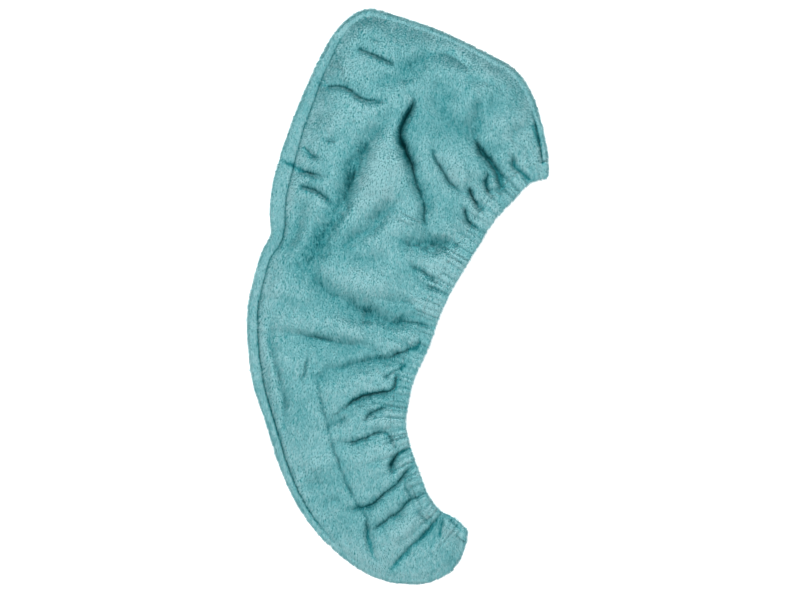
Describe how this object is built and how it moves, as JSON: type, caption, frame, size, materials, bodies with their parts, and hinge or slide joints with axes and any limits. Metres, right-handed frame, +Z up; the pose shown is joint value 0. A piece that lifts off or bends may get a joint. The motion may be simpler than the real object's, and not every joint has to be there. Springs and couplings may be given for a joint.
{
  "type": "hair turban towel",
  "caption": "Hair turban towel of plush cloth lying flat: a broad hood narrows to a curved tail, two layers seamed along the bowed edge, with a gathered mouth along the hollow edge.",
  "frame": {"origin": "centre of the towel's footprint, on the table it lies on", "axes": "+X across the towel towards the gathered mouth, +Y along it from the tail to the hood, +Z up from the table"},
  "size_m": [0.3298, 0.6304, 0.0329],
  "materials": {
    "plush_cloth": "short brushed pile, matte",
    "gathered_hem": "short brushed pile, matte, gathered"
  },
  "bodies": {
    "root": {"upper_panel": "plush_cloth", "under_panel": "plush_cloth", "seam_band": "plush_cloth", "mouth_hem": "gathered_hem"}
  },
  "joints": []
}
